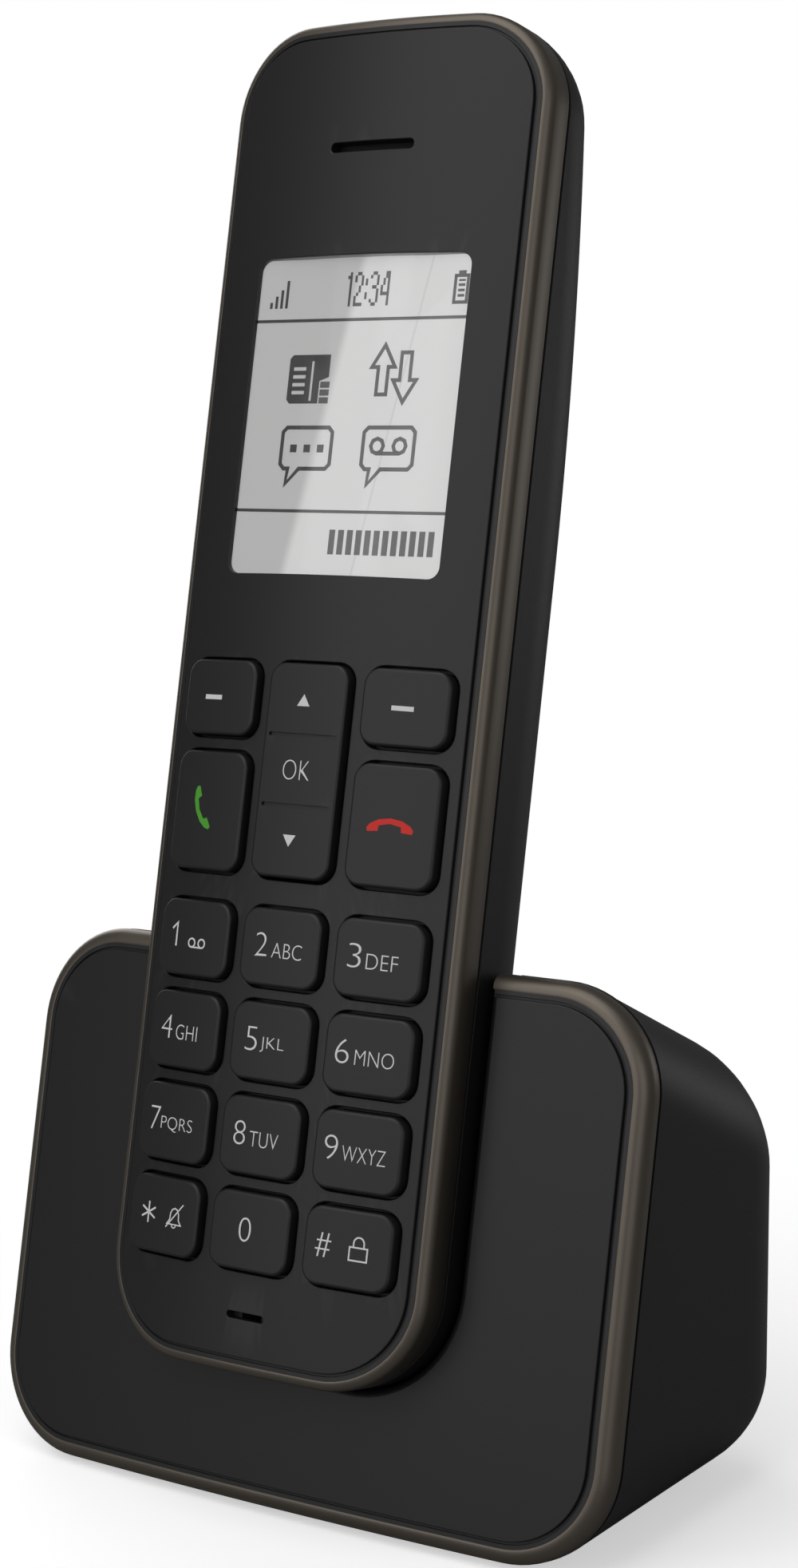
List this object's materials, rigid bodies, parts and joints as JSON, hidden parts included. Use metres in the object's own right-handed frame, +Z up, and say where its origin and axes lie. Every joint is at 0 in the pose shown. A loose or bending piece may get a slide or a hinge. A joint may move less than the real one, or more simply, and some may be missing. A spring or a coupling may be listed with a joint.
{
  "type": "cordless phone with charging base",
  "caption": "Cordless phone handset standing in a leaning charging base, with pressing keys, a display window, a battery bay and metal-look trim rings.",
  "frame": {"origin": "centre of the bounding box at floor level, under the base", "axes": "+Z up, the keypad faces -Y, +X is to the right of someone facing the keypad"},
  "size_m": [0.0946, 0.0637, 0.1888],
  "materials": {
    "matt_black": "fine matt moulded black",
    "shell_black": "satin moulded black",
    "bronze_trim": "satin bronze lacquer",
    "key_black": "matt key caps with off-white legends",
    "lens_clear": "clear acrylic window",
    "display_grey": "reflective grey liquid crystal display",
    "dark_moulding": "plain inner moulding",
    "silicone": "silicone rubber",
    "foot_rubber": "rubber foot pads",
    "circuit_green": "solder mask",
    "bright_metal": "plated steel",
    "gold_contact": "gold plated contact",
    "cell_jacket": "plain battery jacket"
  },
  "bodies": {
    "base": {"base_front_panel": "matt_black", "base_trim_ring": "bronze_trim", "base_body": "shell_black", "base_bottom_plate": "shell_black", "base_feet": "foot_rubber", "base_screws": "bright_metal", "base_board": "circuit_green", "line_socket": "dark_moulding", "power_socket": "dark_moulding", "line_contacts": "gold_contact", "power_contacts": "gold_contact", "page_switch": "bright_metal", "charge_pin_housing": "dark_moulding", "charge_springs": "bright_metal"},
    "handset": {"handset_front_cover": "matt_black", "handset_trim_ring": "bronze_trim", "handset_back_shell": "shell_black", "battery_cell_left": "cell_jacket", "battery_cell_right": "cell_jacket", "battery_contacts": "bright_metal", "display_lens": "lens_clear", "display_panel": "display_grey", "display_frame": "dark_moulding", "key_mat": "silicone", "handset_board": "circuit_green", "earpiece_speaker": "bright_metal", "earpiece_gasket": "silicone", "ringer_speaker": "bright_metal", "microphone": "bright_metal", "microphone_boot": "silicone", "handset_charge_contacts": "gold_contact", "handset_antenna": "gold_contact", "handset_screws": "bright_metal"},
    "battery_door": {"battery_door": "shell_black"},
    "page_button": {"page_button": "dark_moulding"},
    "charge_pin_left": {"charge_pin_left": "gold_contact"},
    "charge_pin_right": {"charge_pin_right": "gold_contact"},
    "key_menu_carrier": {"key_menu_carrier": "dark_moulding"},
    "key_soft_left": {"key_soft_left": "key_black"},
    "key_soft_right": {"key_soft_right": "key_black"},
    "key_call": {"key_call": "key_black"},
    "key_end": {"key_end": "key_black"},
    "key_menu": {"key_menu": "key_black"},
    "key_1": {"key_1": "key_black"},
    "key_2": {"key_2": "key_black"},
    "key_3": {"key_3": "key_black"},
    "key_4": {"key_4": "key_black"},
    "key_5": {"key_5": "key_black"},
    "key_6": {"key_6": "key_black"},
    "key_7": {"key_7": "key_black"},
    "key_8": {"key_8": "key_black"},
    "key_9": {"key_9": "key_black"},
    "key_star": {"key_star": "key_black"},
    "key_0": {"key_0": "key_black"},
    "key_hash": {"key_hash": "key_black"}
  },
  "joints": [
    {"name": "handset_lift", "type": "slide", "parent": "base", "child": "handset", "axis": [0, 0.1908, 0.9816], "range_m": [0, 0.075]},
    {"name": "battery_door_off", "type": "slide", "parent": "handset", "child": "battery_door", "axis": [0, 0.9816, -0.1908], "range_m": [0, 0.015]},
    {"name": "key_soft_left_press", "type": "slide", "parent": "handset", "child": "key_soft_left", "axis": [0, 0.9816, -0.1908], "range_m": [0, 0.0007], "stiffness_N_per_m": 400, "springref_m": -0.0006},
    {"name": "key_soft_right_press", "type": "slide", "parent": "handset", "child": "key_soft_right", "axis": [0, 0.9816, -0.1908], "range_m": [0, 0.0007], "stiffness_N_per_m": 400, "springref_m": -0.0006},
    {"name": "key_call_press", "type": "slide", "parent": "handset", "child": "key_call", "axis": [0, 0.9816, -0.1908], "range_m": [0, 0.0007], "stiffness_N_per_m": 400, "springref_m": -0.0006},
    {"name": "key_end_press", "type": "slide", "parent": "handset", "child": "key_end", "axis": [0, 0.9816, -0.1908], "range_m": [0, 0.0007], "stiffness_N_per_m": 400, "springref_m": -0.0006},
    {"name": "key_1_press", "type": "slide", "parent": "handset", "child": "key_1", "axis": [0, 0.9816, -0.1908], "range_m": [0, 0.0007], "stiffness_N_per_m": 400, "springref_m": -0.0006},
    {"name": "key_2_press", "type": "slide", "parent": "handset", "child": "key_2", "axis": [0, 0.9816, -0.1908], "range_m": [0, 0.0007], "stiffness_N_per_m": 400, "springref_m": -0.0006},
    {"name": "key_3_press", "type": "slide", "parent": "handset", "child": "key_3", "axis": [0, 0.9816, -0.1908], "range_m": [0, 0.0007], "stiffness_N_per_m": 400, "springref_m": -0.0006},
    {"name": "key_4_press", "type": "slide", "parent": "handset", "child": "key_4", "axis": [0, 0.9816, -0.1908], "range_m": [0, 0.0007], "stiffness_N_per_m": 400, "springref_m": -0.0006},
    {"name": "key_5_press", "type": "slide", "parent": "handset", "child": "key_5", "axis": [0, 0.9816, -0.1908], "range_m": [0, 0.0007], "stiffness_N_per_m": 400, "springref_m": -0.0006},
    {"name": "key_6_press", "type": "slide", "parent": "handset", "child": "key_6", "axis": [0, 0.9816, -0.1908], "range_m": [0, 0.0007], "stiffness_N_per_m": 400, "springref_m": -0.0006},
    {"name": "key_7_press", "type": "slide", "parent": "handset", "child": "key_7", "axis": [0, 0.9816, -0.1908], "range_m": [0, 0.0007], "stiffness_N_per_m": 400, "springref_m": -0.0006},
    {"name": "key_8_press", "type": "slide", "parent": "handset", "child": "key_8", "axis": [0, 0.9816, -0.1908], "range_m": [0, 0.0007], "stiffness_N_per_m": 400, "springref_m": -0.0006},
    {"name": "key_9_press", "type": "slide", "parent": "handset", "child": "key_9", "axis": [0, 0.9816, -0.1908], "range_m": [0, 0.0007], "stiffness_N_per_m": 400, "springref_m": -0.0006},
    {"name": "key_star_press", "type": "slide", "parent": "handset", "child": "key_star", "axis": [0, 0.9816, -0.1908], "range_m": [0, 0.0007], "stiffness_N_per_m": 400, "springref_m": -0.0006},
    {"name": "key_0_press", "type": "slide", "parent": "handset", "child": "key_0", "axis": [0, 0.9816, -0.1908], "range_m": [0, 0.0007], "stiffness_N_per_m": 400, "springref_m": -0.0006},
    {"name": "key_hash_press", "type": "slide", "parent": "handset", "child": "key_hash", "axis": [0, 0.9816, -0.1908], "range_m": [0, 0.0007], "stiffness_N_per_m": 400, "springref_m": -0.0006},
    {"name": "key_menu_press", "type": "slide", "parent": "handset", "child": "key_menu_carrier", "axis": [0, 0.9816, -0.1908], "range_m": [0, 0.0004], "stiffness_N_per_m": 600, "springref_m": -0.0006},
    {"name": "key_menu_rock", "type": "hinge", "parent": "key_menu_carrier", "child": "key_menu", "pos_m": [0, -0.01398, 0.09361], "axis": [1, 0, 0], "range_deg": [-1.7, 1.7], "stiffness_Nm_per_rad": 0.05},
    {"name": "charge_pin_left_travel", "type": "slide", "parent": "base", "child": "charge_pin_left", "axis": [0, 0.1908, 0.9816], "range_m": [-0.0012, 0], "stiffness_N_per_m": 150, "springref_m": 0.001},
    {"name": "charge_pin_right_travel", "type": "slide", "parent": "base", "child": "charge_pin_right", "axis": [0, 0.1908, 0.9816], "range_m": [-0.0012, 0], "stiffness_N_per_m": 150, "springref_m": 0.001},
    {"name": "page_button_press", "type": "slide", "parent": "base", "child": "page_button", "axis": [0, -1, 0], "range_m": [0, 0.0006], "stiffness_N_per_m": 400, "springref_m": -0.0005}
  ]
}
